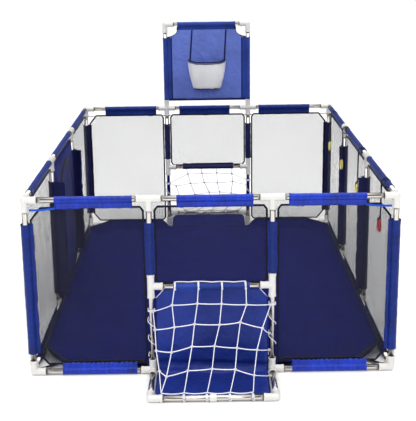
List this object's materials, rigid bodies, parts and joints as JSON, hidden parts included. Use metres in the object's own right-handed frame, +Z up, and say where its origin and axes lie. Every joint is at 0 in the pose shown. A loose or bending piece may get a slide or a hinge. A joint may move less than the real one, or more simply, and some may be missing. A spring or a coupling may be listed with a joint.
{
  "type": "play yard",
  "caption": "Rectangular tube play yard with white plug-in connectors, blue fabric sleeves, see-through mesh walls, netted goals, hoop board, pull rings, zip door and floor mat.",
  "frame": {"origin": "on the floor at the middle of the footprint", "axes": "+Z up, -Y towards the closed goal, +Y towards the hoop board, +X towards the pull rings"},
  "size_m": [1.287, 2.356, 1.079],
  "materials": {
    "tube": "polished stainless tube",
    "connector": "glossy white moulding",
    "sleeve_cloth": "woven royal blue oxford cloth",
    "wall_mesh": "fine see-through knitted mesh",
    "piping": "black bias binding",
    "mat_cloth": "coated navy oxford cloth",
    "goal_cloth": "coated royal blue cloth",
    "net_rope": "white braided cord",
    "board_cloth": "thin translucent blue cloth",
    "basket_mesh": "white net",
    "ring_yellow": "pale yellow plastic",
    "ring_red": "red plastic",
    "zip_black": "black zip"
  },
  "bodies": {
    "frame": {"front_left_base_corner": "connector", "front_left_top_corner": "connector", "front_left_corner_post": "tube", "front_right_base_corner": "connector", "front_right_top_corner": "connector", "front_right_corner_post": "tube", "back_left_base_corner": "connector", "back_left_top_corner": "connector", "back_left_corner_post": "tube", "back_right_base_corner": "connector", "back_right_top_corner": "connector", "back_right_corner_post": "tube", "front_left_goal_foot": "connector", "front_left_top_tee": "connector", "front_left_goal_post": "tube", "front_right_goal_foot": "connector", "front_right_top_tee": "connector", "front_right_goal_post": "tube", "back_left_goal_foot": "connector", "back_left_top_cross": "connector", "back_left_goal_post": "tube", "back_right_goal_foot": "connector", "back_right_top_cross": "connector", "back_right_goal_post": "tube", "left_front_side_post": "tube", "left_back_side_post": "tube", "right_front_side_post": "tube", "right_back_side_post": "tube", "front_top_rail": "tube", "front_left_base_rail": "tube", "front_right_base_rail": "tube", "back_top_rail": "tube", "back_left_base_rail": "tube", "back_right_base_rail": "tube", "left_top_rail": "tube", "left_base_rail": "tube", "right_top_rail": "tube", "right_base_rail": "tube", "front_goal_crossbar": "tube", "front_goal_floor_frame": "tube", "back_goal_crossbar": "tube", "back_goal_floor_frame": "tube", "board_frame": "tube", "front_wall_fabric": "wall_mesh", "back_wall_fabric": "wall_mesh", "left_wall_fabric": "sleeve_cloth", "right_wall_fabric": "wall_mesh", "floor_mat": "mat_cloth", "front_goal_cloth": "goal_cloth", "back_goal_cloth": "goal_cloth", "front_goal_net": "net_rope", "back_goal_net": "net_rope", "board_cloth": "board_cloth", "hoop_basket": "basket_mesh"},
    "door": {"door_flap": "sleeve_cloth"},
    "zip": {"zip_slider": "zip_black"},
    "ring_1": {"pull_ring_1": "ring_red"},
    "ring_2": {"pull_ring_2": "ring_yellow"},
    "ring_3": {"pull_ring_3": "ring_yellow"},
    "ring_4": {"pull_ring_4": "ring_yellow"}
  },
  "joints": [
    {"name": "door_fold", "type": "hinge", "parent": "frame", "child": "door", "pos_m": [-0.6143, 0, 0.062], "axis": [0, 1, 0], "range_deg": [0, 95]},
    {"name": "zip_slide", "type": "slide", "parent": "frame", "child": "zip", "axis": [0, 0, 1], "range_m": [0, 0.27]},
    {"name": "ring_1_swing", "type": "hinge", "parent": "frame", "child": "ring_1", "pos_m": [0.63, -0.75, 0.6385], "axis": [0, 1, 0], "range_deg": [0, 75]},
    {"name": "ring_2_swing", "type": "hinge", "parent": "frame", "child": "ring_2", "pos_m": [0.63, -0.209, 0.6385], "axis": [0, 1, 0], "range_deg": [0, 75]},
    {"name": "ring_3_swing", "type": "hinge", "parent": "frame", "child": "ring_3", "pos_m": [0.63, 0.256, 0.6385], "axis": [0, 1, 0], "range_deg": [0, 75]},
    {"name": "ring_4_swing", "type": "hinge", "parent": "frame", "child": "ring_4", "pos_m": [0.63, 0.678, 0.6385], "axis": [0, 1, 0], "range_deg": [0, 75]}
  ]
}
